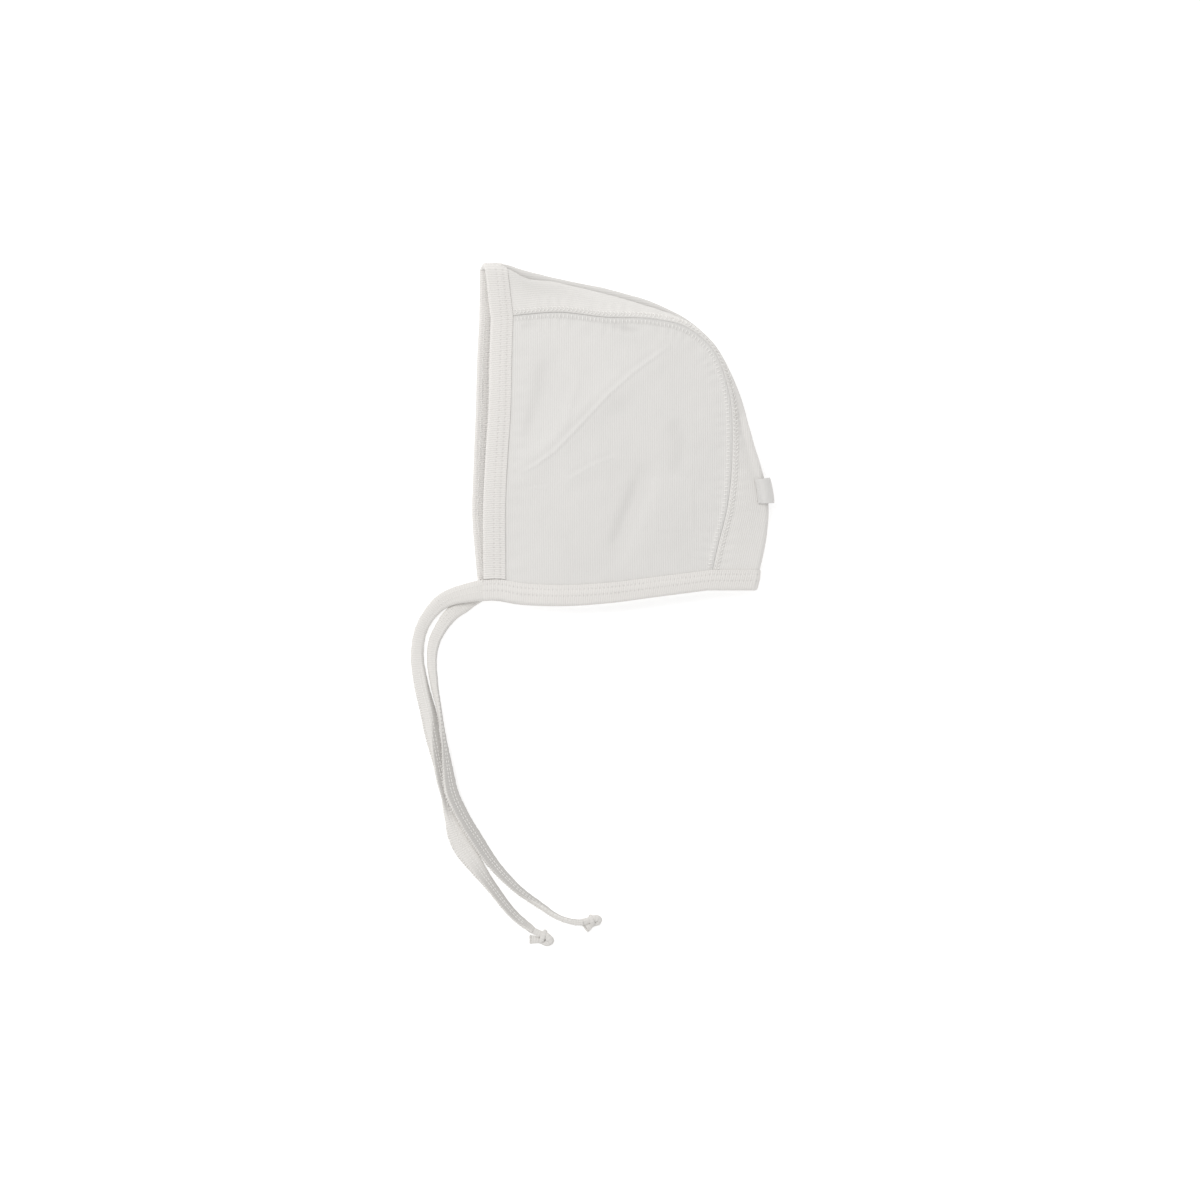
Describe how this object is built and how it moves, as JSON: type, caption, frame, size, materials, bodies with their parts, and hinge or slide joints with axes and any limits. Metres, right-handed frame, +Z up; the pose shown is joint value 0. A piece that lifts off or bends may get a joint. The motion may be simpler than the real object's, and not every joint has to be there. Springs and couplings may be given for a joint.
{
  "type": "baby bonnet",
  "caption": "Soft rib knit baby bonnet with a crown gusset, bound face and neck edges and two knotted ties, lying flat on its side.",
  "frame": {"origin": "on the surface that the bonnet lies on, under the middle of the box round the bonnet without its ties and knots", "axes": "+X from the face opening to the back of the head, +Y from the neck to the crown, +Z up from the surface, out of the wearer's left side"},
  "size_m": [0.1812, 0.3415, 0.0212],
  "materials": {
    "panel_knit": "fine rib knit cotton, off-white, matt",
    "gusset_knit": "the same fine rib knit, its ribs along the strip, matt",
    "band_knit": "folded rib knit binding, ribs across it, twin needle stitched, matt",
    "tie_knit": "folded and curled rib knit binding, stitched along one edge, matt",
    "label_weave": "plain woven tape, bare, matt"
  },
  "bodies": {
    "root": {"left_side_panel": "panel_knit", "right_side_panel": "panel_knit", "crown_gusset": "gusset_knit", "face_band": "band_knit", "neck_band": "band_knit", "left_tie": "tie_knit", "right_tie": "tie_knit", "left_tie_knot": "tie_knit", "right_tie_knot": "tie_knit", "back_label": "label_weave"}
  },
  "joints": []
}
